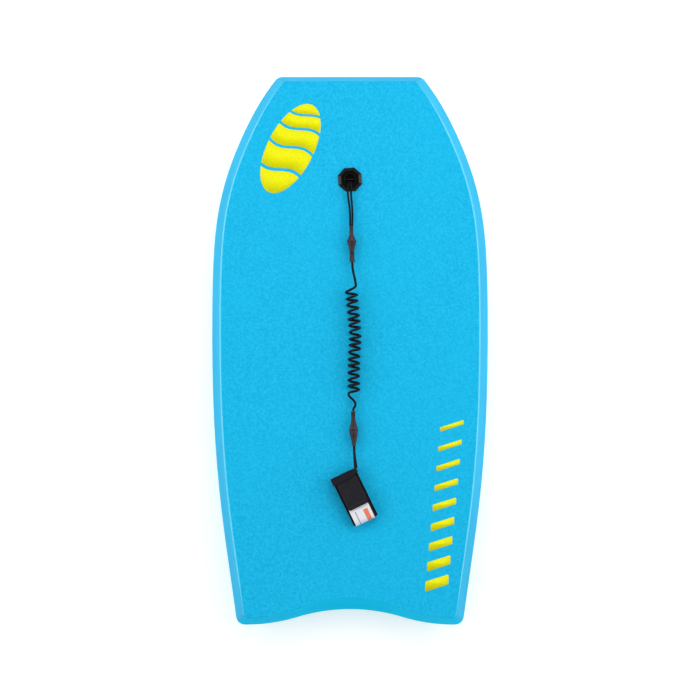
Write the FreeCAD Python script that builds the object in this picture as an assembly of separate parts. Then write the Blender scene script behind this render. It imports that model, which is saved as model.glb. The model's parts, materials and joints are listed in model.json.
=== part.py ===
import FreeCAD, Part
import math
import os

from FreeCAD import Placement, Rotation, Vector

# A foam bodyboard with its coiled wrist leash lying on the deck.
# Frame: X across the board, Y towards the nose, Z up. The slick rests on Z = 0,
# and the board is centred on X = 0 and Y = 0. All sizes are in millimetres.

# Board
board_length = 940.0
board_half_width = 236.5
board_thickness = 60.0
chine_height = 37.5          # the widest line, where upper and lower rails meet
nose_half_width = 124.5      # where the nose edge and the side line would cross
tail_half_width = 193.4      # where the tail edge and the side line would cross
tail_notch_depth = 26.6      # of the crescent tail
tail_notch_growth = 7.0      # how much deeper the crescent is along the deck's edge
nose_corner_cut = 9.2
tail_corner_cut = 15.0
deck_corner_share = 0.6      # an inner outline's corners against the outer ones
# The side line between its two corners: share of the length from the nose, and
# share of the greatest half width.
side_shape = [
    (0.053, 0.668), (0.107, 0.778), (0.162, 0.867), (0.244, 0.9535), (0.352, 0.9937),
    (0.457, 1.0), (0.6245, 0.987), (0.787, 0.9345), (0.951, 0.845),
]

# How far each outline lies inside the widest one, at the sides, nose and tail
deck_inset = (15.0, 10.5, 15.0)
slick_inset = (22.0, 5.0, 6.0)
core_inset = (32.0, 24.0, 36.0)
slick_sheet_inset = (0.0, 1.8, 6.4)

# Layers and rocker
deck_skin_thickness = 4.0
slick_skin_thickness = 1.5
flat_from_nose = 250.0       # the slick is flat between these two stations
flat_to_tail = 560.0
gentle_radius = 2480.0       # of the rocker where it leaves the flat
gentle_run = 124.0
nose_rocker_radius = 320.0
tail_lift = 12.0

# Leash plug
plug_from_nose = 178.0
plug_across_flats = 40.0
plug_top_across_flats = 30.0
plug_turn = 4.0              # degrees
plug_rim_height = 1.6
plug_height = 5.0
plug_recess_radius = 8.5
plug_wall = 2.0
plug_recess_depth = 14.0
plug_floor = 3.0
plug_lip_chamfer = 1.0
stem_radius = 7.4
stem_gap = 6.0               # between the stem's end and the recess's floor
thread_clearance = 0.1
disc_gap = 0.8               # between the tube's end and the disc
hole_clearance = 0.2
slick_disc_radius = 20.2
slick_disc_thickness = 3.4
slick_disc_bottom = 0.4
disc_edge_round = 1.2
coin_slot = (22.0, 2.6, 1.0)
coin_slot_turn = 40.0        # degrees
string_bar_radius = 2.0
string_bar_depth = 7.0       # of its axis, below the plug's top
string_bar_seat = 1.0        # how far each end sits in the tube's wall

# Plug string: two strands side by side, from the bar to the upper swivel
string_diameter = 3.4
string_route = [  # centre X, half the strands' spacing, Y from the plug, Z above the deck
    (0.0, 1.90, -3.6, -0.6), (0.0, 2.10, -6.6, 7.6), (-0.8, 2.80, -15.4, 8.1),
    (-1.1, 2.70, -26.5, 7.0), (0.9, 2.35, -41.0, 5.5), (2.2, 2.05, -57.0, 5.9),
    (2.4, 1.85, -69.0, 7.2), (2.1, 1.78, -80.0, 8.1),
]

# Every place on the leash is given as X, Y from the plug's axis, and height above the deck.
# Swivels: the start of each one's axis, its direction in degrees from -Y, its height,
# and its outline as (distance along the axis, radius)
upper_swivel_start = (2.1, -80.0)
upper_swivel_angle = 1.6
upper_swivel_height = 8.1
upper_swivel_shape = [
    (0.0, 3.5), (14.0, 3.6), (19.6, 5.0), (23.9, 7.7), (26.4, 7.9),
    (29.2, 7.7), (36.0, 5.0), (41.0, 4.2), (61.0, 4.5),
]
upper_swivel_part = 26.4     # where its two halves meet
lower_swivel_start = (5.3, -394.5)
lower_swivel_angle = 1.6
lower_swivel_height = 7.6
lower_swivel_shape = [
    (0.0, 3.8), (15.0, 3.6), (21.0, 4.6), (26.0, 6.3), (30.0, 7.3), (33.0, 7.4),
    (40.0, 6.3), (50.0, 4.6), (60.0, 3.0),
]
lower_swivel_part = 33.0
swivel_gap = 0.3             # between the two halves
swivel_pin_radius = 1.6
swivel_pin_reach = 12.0      # into the half that turns
swivel_pin_grip = 12.0       # into the half that holds it
swivel_head_radius = 2.8
swivel_head_length = 2.4
swivel_clearance = 0.06      # round the pin's shank
swivel_head_clearance = 0.3

# Coiled cord
cord_diameter = 4.2
coil_diameter = 22.0
coil_clearance = 0.2         # between the coil and the deck
cord_upper_route = [
    (3.8, -141.1, 8.1), (4.1, -152.5, 8.1), (8.4, -171.0, 8.9), (9.6, -186.4, 10.6),
]
coil_route = [(1.5, -185.6), (7.0, -238.0), (9.8, -273.0), (6.0, -308.0), (6.6, -364.0)]
cord_lower_route = [
    (-1.0, -363.2, 12.0), (4.6, -369.2, 11.4), (9.2, -375.6, 10.2),
    (8.6, -383.2, 8.6), (5.15, -389.0, 7.6), (5.3, -394.4, 7.6),
]

# Wrist cuff, in its own frame: P along the loop from the swivel's end, Q across it
cuff_start = (-11.8, -500.8)
cuff_angle = -64.0           # of P, in degrees from +X
cuff_length = 90.4
cuff_base = 1.3              # its lowest face above the deck
cuff_loop_start = 1.3        # its fold, just inside the keeper's edge
pad_width = 45.5
pad_thickness = 3.0
strap_width = 38.0
strap_thickness = 1.5
cuff_gap = 6.0               # the wrist's space, squashed nearly flat
patch_thickness = 0.8
patch_gap = 0.1
patch_margin = 2.0
flap_thickness = 1.4
flap_hinge = 16.0
flap_end = 59.0
flap_split = 0.4
flap_corner = 4.0
flap_root_start = 8.0
loop_patch_start = 20.0
loop_patch_end = 54.0
hook_patch_start = 22.0
hook_patch_end = 57.0
label_start = 56.0
label_thickness = 0.3
label_low = -18.8            # its two edges across the strap
label_high = 16.5
keeper_width = 12.2
keeper_thickness = 1.0
keeper_clearance = 0.3
keeper_corner = 3.0
tab_diameter = 4.8
tab_route = [(7.0, -454.4, 7.6), (7.4, -466.0, 8.2), (8.4, -478.0, 9.6), (10.0, -491.8, 10.4)]

nose_y = board_length / 2
tail_y = -board_length / 2
deck_z = board_thickness
plug_y = nose_y - plug_from_nose
plug_tube_radius = plug_recess_radius + plug_wall
plug_top = deck_z + plug_height
plug_floor_top = plug_top - plug_recess_depth
far = 2 * board_length       # longer than anything here


def write(shape, node):
    if not shape.isValid() or shape.Volume <= 0:
        raise ValueError("bad solid: " + node)
    shape.exportStep(os.path.join("parts", node + ".step"))
    print(node, "solids", len(shape.Solids), "volume", round(shape.Volume, 1))


def unit(x, y):
    size = math.hypot(x, y)
    return x / size, y / size


def side_points(inset, notch_cut, nose_cut, nose_inset, tail_inset):
    """The right side line, moved inwards, with its two corners' crossing points."""
    stations = [(board_half_width * w, nose_y - board_length * s) for s, w in side_shape]
    first = unit(stations[0][0] - nose_half_width, stations[0][1] - nose_y)
    last = unit(tail_half_width - stations[-1][0], tail_y - stations[-1][1])

    def crossing(corner_x, corner_y, along, level):
        x, y = corner_x + inset * along[1], corner_y - inset * along[0]
        return x + along[0] * (level - y) / along[1], level

    nose = crossing(nose_half_width, nose_y, first, nose_y - nose_inset)
    tail = crossing(tail_half_width, tail_y, last, tail_y + tail_inset)
    line = [(nose[0] + first[0] * nose_cut, nose[1] + first[1] * nose_cut)]
    padded = [(nose_half_width, nose_y)] + stations + [(tail_half_width, tail_y)]
    for before, here, after in zip(padded, padded[1:], padded[2:]):
        along = unit(after[0] - before[0], after[1] - before[1])
        line.append((here[0] + inset * along[1], here[1] - inset * along[0]))
    line.append((tail[0] - last[0] * notch_cut, tail[1] - last[1] * notch_cut))
    return nose, line, tail


def outline(inset, z, growth=0.0, corners=1.0):
    """A closed outline at height z, moved in by (side, nose, tail)."""
    side, nose_in, tail_in = inset
    nose_cut, tail_cut = nose_corner_cut * corners, tail_corner_cut * corners
    nose, line, tail = side_points(side, tail_cut, nose_cut, nose_in, tail_in)
    depth = tail_notch_depth + growth
    half = tail[0] - tail_cut
    radius = (half ** 2 + depth ** 2) / (4 * depth)
    lean = math.asin(half / 2 / radius) / 2

    def at(x, y):
        return Vector(x, y, z)

    def bend(start, corner, end):
        curve = Part.BezierCurve()
        curve.setPoles([at(*start), at(*corner), at(*end)])
        return curve.toShape()

    def side_edge(points):
        curve = Part.BSplineCurve()
        curve.interpolate([at(*p) for p in points])
        return curve.toShape()

    def arc(start, middle, end):
        return Part.Arc(at(*start), at(*middle), at(*end)).toShape()

    def mirrored(point):
        return -point[0], point[1]

    nose_end = (nose[0] - nose_cut, nose[1])
    tail_end = (half, tail[1])
    turn = (half / 2, tail[1] + depth / 2)
    hump = (half - radius * math.sin(lean), tail[1] + radius * (1 - math.cos(lean)))
    notch = (0.0, tail[1] + depth)
    left = [mirrored(p) for p in line]
    edges = [
        Part.LineSegment(at(*mirrored(nose_end)), at(*nose_end)).toShape(),
        bend(nose_end, nose, line[0]),
        side_edge(line),
        bend(line[-1], tail, tail_end),
        arc(tail_end, hump, turn),
        arc(turn, notch, mirrored(turn)),
        arc(mirrored(turn), mirrored(hump), mirrored(tail_end)),
        bend(mirrored(tail_end), mirrored(tail), left[-1]),
        side_edge(left[::-1]),
        bend(left[0], mirrored(nose), mirrored(nose_end)),
    ]
    return Part.Wire(edges)


def column(inset, bottom, top, growth=0.0, corners=deck_corner_share):
    """A straight-walled block with one outline."""
    face = Part.Face(outline(inset, bottom, growth, corners))
    return face.extrude(Vector(0, 0, top - bottom))


def above_rocker(lift):
    """Everything above the slick's long profile, raised by lift."""
    flat_nose_y, flat_tail_y = nose_y - flat_from_nose, nose_y - flat_to_tail
    gentle = math.asin(gentle_run / gentle_radius)

    def on_gentle(angle):
        rise = gentle_radius * (1 - math.cos(angle))
        return Vector(0, flat_nose_y + gentle_radius * math.sin(angle), lift + rise)

    join = on_gentle(gentle)
    past = nose_y + 5 - join.y
    steep = math.asin(math.sin(gentle) + past / nose_rocker_radius)

    def on_nose(angle):
        return join + Vector(0, nose_rocker_radius * (math.sin(angle) - math.sin(gentle)),
                             nose_rocker_radius * (math.cos(gentle) - math.cos(angle)))

    run = flat_tail_y - tail_y
    tail_radius = (run ** 2 + tail_lift ** 2) / (2 * tail_lift)
    tail_angle = math.asin((run + 5) / tail_radius)

    def on_tail(angle):
        rise = tail_radius * (1 - math.cos(angle))
        return Vector(0, flat_tail_y - tail_radius * math.sin(angle), lift + rise)

    top = 2 * board_thickness
    tip, stern = on_nose(steep), on_tail(tail_angle)
    edges = [
        Part.Arc(stern, on_tail(tail_angle / 2), on_tail(0)).toShape(),
        Part.LineSegment(on_tail(0), on_gentle(0)).toShape(),
        Part.Arc(on_gentle(0), on_gentle(gentle / 2), join).toShape(),
        Part.Arc(join, on_nose((gentle + steep) / 2), tip).toShape(),
        Part.LineSegment(tip, Vector(0, tip.y, top)).toShape(),
        Part.LineSegment(Vector(0, tip.y, top), Vector(0, stern.y, top)).toShape(),
        Part.LineSegment(Vector(0, stern.y, top), stern).toShape(),
    ]
    face = Part.Face(Part.Wire(edges))
    face.translate(Vector(-board_length / 2, 0, 0))
    return face.extrude(Vector(board_length, 0, 0))


def end_wedge(at_nose):
    """The plan of the nose or tail strip, mitred into the corners of the core."""
    corner_x = nose_half_width if at_nose else tail_half_width
    corner_y = nose_y if at_nose else tail_y
    cut = nose_corner_cut if at_nose else tail_corner_cut
    inner_nose, _, inner_tail = side_points(core_inset[0], cut, cut, core_inset[1], core_inset[2])
    inner = inner_nose if at_nose else inner_tail
    mitre = unit(corner_x - inner[0], corner_y - inner[1])
    reach = board_thickness
    tip = (corner_x + mitre[0] * reach, corner_y + mitre[1] * reach)
    points = [(-tip[0], tip[1]), tip, inner]
    if not at_nose:
        deep = inner[1] + tail_notch_depth + tail_notch_growth
        points += [(inner[0], deep), (-inner[0], deep)]
    points.append((-inner[0], inner[1]))
    wire = Part.makePolygon([Vector(x, y, -reach) for x, y in points + points[:1]])
    return Part.Face(wire).extrude(Vector(0, 0, 4 * reach))


def plug_hole(radius, bottom, top):
    return Part.makeCylinder(radius, top - bottom, Vector(0, plug_y, bottom))


def board():
    """The core, its two skins, the rails and the two end strips, as a dict of solids."""
    chine = outline((0, 0, 0), chine_height)
    deck_edge = outline(deck_inset, deck_z, tail_notch_growth, deck_corner_share)
    slick_edge = outline(slick_inset, 0, 0, deck_corner_share)
    upper = Part.makeLoft([chine, deck_edge], True, True)
    lower = Part.makeLoft([slick_edge, chine], True, True)
    lower = lower.common(above_rocker(0))
    over_slick = above_rocker(slick_skin_thickness)
    core_top = deck_z - deck_skin_thickness

    deck_skin = column(deck_inset, core_top, deck_z, tail_notch_growth)
    slick_skin = lower.cut(over_slick).common(column(slick_sheet_inset, -1, deck_z, 0, 1.0))
    core = column(core_inset, 0, core_top, tail_notch_growth).common(over_slick)

    shaft = plug_hole(plug_tube_radius + hole_clearance, -1, deck_z + 1)
    disc_seat = plug_hole(slick_disc_radius + hole_clearance, -1,
                          slick_disc_bottom + slick_disc_thickness + hole_clearance)
    parts = {
        "foam_core": core.cut(shaft).cut(disc_seat),
        "deck_skin": deck_skin.cut(shaft),
        "slick_skin": slick_skin.cut(disc_seat),
    }

    upper_ring = upper.cut(deck_skin).cut(core)
    lower_ring = lower.cut(slick_skin).cut(core)
    nose_wedge, tail_wedge = end_wedge(True), end_wedge(False)
    for node, wedge in (("nose_strip", nose_wedge), ("tail_strip", tail_wedge)):
        parts[node] = upper_ring.common(wedge).fuse(lower_ring.common(wedge)).removeSplitter()
    for level, ring in (("upper", upper_ring), ("lower", lower_ring)):
        sides = ring.cut(nose_wedge).cut(tail_wedge)
        for hand, start in (("left", -far), ("right", 0)):
            half = Part.makeBox(far, far, far, Vector(start, -board_length, -board_length))
            parts[hand + "_" + level + "_rail"] = sides.common(half)
    return parts


def octagon(across_flats, z):
    """A wire round the plug's axis with a flat towards the nose."""
    radius = across_flats / 2 / math.cos(math.pi / 8)
    points = []
    for k in range(9):
        angle = math.radians(45 * (k + 0.5) + plug_turn)
        points.append(Vector(radius * math.cos(angle), plug_y + radius * math.sin(angle), z))
    return Part.makePolygon(points)


def deck_plug():
    rim_top = deck_z + plug_rim_height
    rim = Part.Face(octagon(plug_across_flats, deck_z)).extrude(Vector(0, 0, plug_rim_height))
    shoulder, crown = octagon(plug_across_flats, rim_top), octagon(plug_top_across_flats, plug_top)
    slope = Part.makeLoft([shoulder, crown], True, True)
    tube_bottom = slick_disc_bottom + slick_disc_thickness + disc_gap
    plug = rim.fuse(slope).fuse(plug_hole(plug_tube_radius, tube_bottom, deck_z))
    plug = plug.cut(plug_hole(plug_recess_radius, plug_floor_top, plug_top + 1))
    lip = Part.makeCone(plug_recess_radius, plug_recess_radius + 2 * plug_lip_chamfer, 2 * plug_lip_chamfer,
                        Vector(0, plug_y, plug_top - plug_lip_chamfer))
    plug = plug.cut(lip)
    thread = plug_hole(stem_radius + thread_clearance, tube_bottom - 1, plug_floor_top - plug_floor)
    return plug.cut(thread).cut(string_bar()).removeSplitter()


def string_bar():
    half = plug_recess_radius + string_bar_seat
    end = Vector(-half, plug_y, plug_top - string_bar_depth)
    return Part.makeCylinder(string_bar_radius, 2 * half, end, Vector(1, 0, 0))


def slick_plug():
    top = slick_disc_bottom + slick_disc_thickness
    disc = plug_hole(slick_disc_radius, slick_disc_bottom, top)
    low_rim = [e for e in disc.Edges if abs(e.BoundBox.ZMax - slick_disc_bottom) < 0.01 and e.Closed]
    disc = disc.makeFillet(disc_edge_round, low_rim[:1])
    stem = plug_hole(stem_radius, top - 1, plug_floor_top - plug_floor - stem_gap)
    long, wide, deep = coin_slot
    slot = Part.makeBox(long, wide, 2 * deep, Vector(-long / 2, -wide / 2, slick_disc_bottom - deep))
    turned = Placement(Vector(0, plug_y, 0), Rotation(Vector(0, 0, 1), coin_slot_turn))
    slot.Placement = turned.multiply(slot.Placement)
    return disc.fuse(stem).removeSplitter().cut(slot)


def tube(points, diameter, node):
    """A round solid along straight runs joined by tangent arcs as large as they allow."""
    points = [Vector(*p) for p in points]
    edges, start, radii = [], points[0], []
    for before, here, after in zip(points, points[1:], points[2:]):
        back, ahead = (before - here).normalize(), (after - here).normalize()
        half_turn = (math.pi - back.getAngle(ahead)) / 2
        cut = 0.45 * min(before.distanceToPoint(here), here.distanceToPoint(after))
        radius = cut / math.tan(half_turn)
        first, last = here + back * cut, here + ahead * cut
        inwards = (back + ahead).normalize()
        middle = here + inwards * (radius / math.cos(half_turn) - radius)
        edges.append(Part.LineSegment(start, first).toShape())
        edges.append(Part.Arc(first, middle, last).toShape())
        start = last
        radii.append(round(radius, 1))
    edges.append(Part.LineSegment(start, points[-1]).toShape())
    path = Part.Wire(edges)
    ring = Part.Wire([Part.Circle(points[0], points[1] - points[0], diameter / 2).toShape()])
    solid = path.makePipeShell([ring], True, True)
    expected = math.pi * diameter ** 2 / 4 * path.Length
    print(node, "length", round(path.Length, 1), "radii", radii)
    print(node, "volume against section times length", round(solid.Volume / expected, 4))
    return solid


def on_deck(route):
    return [(x, plug_y + y, deck_z + height) for x, y, height in route]


def string_strand(side, node):
    points = [(x + side * gap, y, height) for x, gap, y, height in string_route]
    return tube(on_deck(points), string_diameter, node)


def revolved(shape, start, stop, placement):
    """The part of a turned outline between two stations, as a solid along its axis."""
    inside = [p for p in shape if start < p[0] < stop]

    def radius_at(t):
        for (t0, r0), (t1, r1) in zip(shape, shape[1:]):
            if t0 <= t <= t1:
                return r0 + (r1 - r0) * (t - t0) / (t1 - t0)

    points = [(start, radius_at(start))] + inside + [(stop, radius_at(stop))]
    corners = [Vector(start, 0, 0)] + [Vector(t, r, 0) for t, r in points] + [Vector(stop, 0, 0)]
    face = Part.Face(Part.makePolygon(corners + corners[:1]))
    solid = face.revolve(Vector(0, 0, 0), Vector(1, 0, 0), 360)
    solid.Placement = placement
    return solid


def swivel(start, angle, height, shape, split, pin_from_end):
    """(yoke, pin, barrel): the pin is held by the yoke and turns in the barrel.

    With pin_from_end the barrel comes first along the axis, and otherwise the yoke.
    """
    base = Vector(start[0], plug_y + start[1], deck_z + height)
    placement = Placement(base, Rotation(Vector(0, 0, 1), angle - 90))
    first = (shape[0][0], split - swivel_gap / 2)
    second = (split + swivel_gap / 2, shape[-1][0])
    held, turning = (second, first) if pin_from_end else (first, second)
    into = -1 if pin_from_end else 1
    grip = split - into * swivel_pin_grip
    tip = split + into * swivel_pin_reach
    neck = tip - into * swivel_head_length

    def rod(radius, a, b):
        low, high = min(a, b), max(a, b)
        solid = Part.makeCylinder(radius, high - low, Vector(low, 0, 0), Vector(1, 0, 0))
        solid.Placement = placement.multiply(solid.Placement)
        return solid

    pin = rod(swivel_pin_radius, grip, tip).fuse(rod(swivel_head_radius, neck, tip)).removeSplitter()
    yoke = revolved(shape, held[0], held[1], placement).cut(rod(swivel_pin_radius, grip, tip))
    barrel = revolved(shape, turning[0], turning[1], placement)
    barrel = barrel.cut(rod(swivel_pin_radius + swivel_clearance, split, tip))
    spare = swivel_head_clearance
    barrel = barrel.cut(rod(swivel_head_radius + spare, neck - into * spare, tip + into * spare))
    return yoke, pin, barrel


cuff_low = deck_z + cuff_base
pad_low = cuff_low + strap_thickness
gap_low = pad_low + pad_thickness
gap_high = gap_low + cuff_gap
pad_high = gap_high + pad_thickness
cuff_high = pad_high + strap_thickness
hook_low = cuff_high + patch_thickness + patch_gap
flap_low = hook_low + patch_thickness
flap_high = flap_low + flap_thickness
cuff_origin = Vector(cuff_start[0], plug_y + cuff_start[1], 0)
cuff_frame = Placement(cuff_origin, Rotation(Vector(0, 0, 1), cuff_angle))


def in_cuff(shape):
    moved = shape.copy()
    moved.Placement = cuff_frame.multiply(moved.Placement)
    return moved


def fold_block(start, end, low, high, q_low, q_high):
    """A block whose two ends are half round, like a flattened loop."""
    radius = (high - low) / 2
    middle = (high + low) / 2
    a, b = start + radius, end - radius
    edges = [
        Part.LineSegment(Vector(a, q_low, low), Vector(b, q_low, low)).toShape(),
        Part.Arc(Vector(b, q_low, low), Vector(end, q_low, middle), Vector(b, q_low, high)).toShape(),
        Part.LineSegment(Vector(b, q_low, high), Vector(a, q_low, high)).toShape(),
        Part.Arc(Vector(a, q_low, high), Vector(start, q_low, middle), Vector(a, q_low, low)).toShape(),
    ]
    return Part.Face(Part.Wire(edges)).extrude(Vector(0, q_high - q_low, 0))


def slab(start, end, width, low, high):
    return Part.makeBox(end - start, width, high - low, Vector(start, -width / 2, low))


def ring(offset, thickness, q_low, q_high):
    """A flattened loop whose outer face lies that far inside the strap's."""
    def fold(o, spare):
        return fold_block(cuff_loop_start + o, cuff_length - o, cuff_low + o, cuff_high - o,
                          q_low - spare, q_high + spare)

    return fold(offset, 0).cut(fold(offset + thickness, 1))


def cuff_strap():
    half = strap_width / 2
    root_low = cuff_high - strap_thickness / 2
    root = slab(flap_root_start, flap_hinge - flap_split, strap_width, root_low, flap_high)
    return ring(0, strap_thickness, -half, half).fuse(root).removeSplitter()


def cuff_flap():
    flap = slab(flap_hinge, flap_end, strap_width, flap_low, flap_high)
    free = [e for e in flap.Edges if e.BoundBox.XMin > flap_end - 0.01 and e.BoundBox.YLength < 0.01]
    return flap.makeFillet(flap_corner, free)


def cuff_label():
    skin = ring(-label_thickness, label_thickness, label_low, label_high)
    room = Part.makeBox(cuff_length, far, far, Vector(label_start, -far / 2, gap_low - cuff_gap / 2))
    return skin.common(room)


def keeper_loop():
    q_inner = pad_width / 2 + keeper_clearance
    q_outer = q_inner + keeper_thickness
    z_in_low, z_in_high = cuff_low - keeper_clearance / 2, flap_high + keeper_clearance
    height = z_in_high - z_in_low + 2 * keeper_thickness
    outer = Part.makeBox(keeper_width, 2 * q_outer, height, Vector(0, -q_outer, z_in_low - keeper_thickness))
    long_edges = [e for e in outer.Edges if e.BoundBox.XLength > keeper_width / 2]
    outer = outer.makeFillet(keeper_corner, long_edges)
    inner = Part.makeBox(2 * keeper_width, 2 * q_inner, z_in_high - z_in_low,
                         Vector(-keeper_width / 2, -q_inner, z_in_low))
    long_edges = [e for e in inner.Edges if e.BoundBox.XLength > keeper_width / 2]
    inner = inner.makeFillet(keeper_corner - keeper_thickness, long_edges)
    return outer.cut(inner)


def leash():
    """Every piece of the leash, as a dict of solids."""
    coil_line = [(x, y, coil_diameter / 2 + coil_clearance) for x, y in coil_route]
    parts = {
        "string_left": string_strand(-1, "string_left"),
        "string_right": string_strand(1, "string_right"),
        "cord_upper_end": tube(on_deck(cord_upper_route), cord_diameter, "cord_upper_end"),
        "cord_coil": tube(on_deck(coil_line), coil_diameter, "cord_coil"),
        "cord_lower_end": tube(on_deck(cord_lower_route), cord_diameter, "cord_lower_end"),
        "webbing_tab": tube(on_deck(tab_route), tab_diameter, "webbing_tab"),
    }
    upper = swivel(upper_swivel_start, upper_swivel_angle, upper_swivel_height,
                   upper_swivel_shape, upper_swivel_part, False)
    lower = swivel(lower_swivel_start, lower_swivel_angle, lower_swivel_height,
                   lower_swivel_shape, lower_swivel_part, True)
    for end, pieces in (("upper", upper), ("lower", lower)):
        for name, piece in zip(("yoke", "pin", "barrel"), pieces):
            parts[end + "_swivel_" + name] = piece
    patch_width = strap_width - 2 * patch_margin
    half_pad = pad_width / 2
    in_place = {
        "cuff_pad": ring(strap_thickness, pad_thickness, -half_pad, half_pad),
        "cuff_strap": cuff_strap(),
        "cuff_flap": cuff_flap(),
        "cuff_label": cuff_label(),
        "loop_patch": slab(loop_patch_start, loop_patch_end, patch_width, cuff_high, cuff_high + patch_thickness),
        "hook_patch": slab(hook_patch_start, hook_patch_end, patch_width, hook_low, flap_low),
        "keeper_loop": keeper_loop(),
    }
    for node, shape in in_place.items():
        parts[node] = in_cuff(shape)
    return parts


os.makedirs("parts", exist_ok=True)
everything = board()
everything["deck_plug"] = deck_plug()
everything["slick_plug"] = slick_plug()
everything["string_bar"] = string_bar()
everything.update(leash())
for node, shape in everything.items():
    write(shape, node)
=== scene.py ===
import json
import math

import bmesh
import bpy
from mathutils import Matrix, Vector
from mathutils.bvhtree import BVHTree


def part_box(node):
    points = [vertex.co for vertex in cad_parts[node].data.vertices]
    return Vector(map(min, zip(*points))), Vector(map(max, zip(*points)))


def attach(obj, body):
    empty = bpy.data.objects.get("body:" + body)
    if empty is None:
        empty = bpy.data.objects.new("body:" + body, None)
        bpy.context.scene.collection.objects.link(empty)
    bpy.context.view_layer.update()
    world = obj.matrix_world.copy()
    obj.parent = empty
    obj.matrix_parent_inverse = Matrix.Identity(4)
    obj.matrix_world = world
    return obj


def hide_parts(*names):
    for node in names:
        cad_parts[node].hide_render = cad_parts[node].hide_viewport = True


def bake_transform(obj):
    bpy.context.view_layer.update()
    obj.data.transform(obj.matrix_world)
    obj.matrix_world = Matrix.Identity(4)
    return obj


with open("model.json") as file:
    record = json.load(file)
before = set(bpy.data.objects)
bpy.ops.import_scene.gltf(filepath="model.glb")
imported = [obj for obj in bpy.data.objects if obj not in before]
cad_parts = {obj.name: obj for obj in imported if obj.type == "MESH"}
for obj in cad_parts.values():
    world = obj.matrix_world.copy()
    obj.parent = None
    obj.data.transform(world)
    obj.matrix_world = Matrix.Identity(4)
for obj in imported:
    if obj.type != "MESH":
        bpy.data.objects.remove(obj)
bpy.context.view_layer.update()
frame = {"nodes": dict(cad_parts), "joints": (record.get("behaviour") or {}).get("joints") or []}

# A foam bodyboard lying on its slick, with its coiled leash on the deck.
# The frame is in metres: +Y to the nose, +Z out of the deck. Sizes in the settings are in
# millimetres, and are turned into metres where they are used.

scene = bpy.context.scene
mm = 0.001

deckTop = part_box("deck_skin")[1].z
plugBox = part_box("deck_plug")
plugAxis = Vector(((plugBox[0].x + plugBox[1].x) / 2, (plugBox[0].y + plugBox[1].y) / 2, deckTop))
joints = {j["name"]: j for j in frame["joints"]}


def smoothStep(value, low, high):
    t = min(1.0, max(0.0, (value - low) / (high - low)))
    return t * t * (3 - 2 * t)


def addObject(name, data):
    piece = bpy.data.objects.new(name, data)
    scene.collection.objects.link(piece)
    return piece


def addMesh(name, bm, sharpAngle=35.0):
    mesh = bpy.data.meshes.new(name)
    bm.to_mesh(mesh)
    bm.free()
    for face in mesh.polygons:
        face.use_smooth = True
    mesh.set_sharp_from_angle(angle=math.radians(sharpAngle))
    return addObject(name, mesh)


def addModifier(piece, kind, **settings):
    modifier = piece.modifiers.new(kind.title().replace("_", ""), kind)
    for key, value in settings.items():
        setattr(modifier, key, value)
    return modifier


def applyModifiers(piece):
    graph = bpy.context.evaluated_depsgraph_get()
    mesh = bpy.data.meshes.new_from_object(piece.evaluated_get(graph))
    piece.modifiers.clear()
    piece.data = mesh


def settle(piece, finish, nodes=(), body="board"):
    piece.data.materials.clear()
    piece.data.materials.append(finish)
    if nodes:
        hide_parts(*nodes)
    if body:
        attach(piece, body)
    return piece


def paint(node, finish):
    materials = frame["nodes"][node].data.materials
    for k in range(len(materials)):
        materials[k] = finish


def finishCloth(name, bm, thickness, edge, offset=-1.0, levels=1):
    piece = addMesh(name, bm, 60)
    addModifier(piece, "SOLIDIFY", thickness=thickness * mm, offset=offset, use_even_offset=True)
    addModifier(piece, "BEVEL", width=edge * mm, segments=3, limit_method="ANGLE",
                angle_limit=math.radians(50))
    if levels:
        addModifier(piece, "SUBSURF", levels=levels, render_levels=levels)
    applyModifiers(piece)
    return piece


# camera: straight above the deck, nose up, with a long lens

cameraSettings = {"lens": 110.0, "sensor": 36.0, "frameHeight": 1194.0, "forward": 1.4}


def addCamera():
    s = cameraSettings
    data = bpy.data.cameras.new("camera")
    data.lens = s["lens"]
    data.sensor_width = s["sensor"]
    distance = s["frameHeight"] * mm * s["lens"] / s["sensor"]
    camera = addObject("camera", data)
    camera.location = (0, s["forward"] * mm, deckTop + distance)
    scene.camera = camera


# finishes

class Flow:
    # A value or colour on its way through a material. Arithmetic on it adds Math nodes.
    def __init__(self, finish, socket):
        self.finish = finish
        self.socket = socket

    def maths(self, operation, first, second=None):
        inputs = {0: first} if second is None else {0: first, 1: second}
        return self.finish.add("ShaderNodeMath", {"operation": operation}, inputs)

    def __add__(self, other):
        return self.maths("ADD", self, other)

    def __mul__(self, other):
        return self.maths("MULTIPLY", self, other)

    def __sub__(self, other):
        return self.maths("SUBTRACT", self, other)

    def __rsub__(self, other):
        return self.maths("SUBTRACT", other, self)

    __radd__ = __add__
    __rmul__ = __mul__

    def sine(self):
        return self.maths("SINE", self)

    def size(self):
        return self.maths("ABSOLUTE", self)


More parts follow.
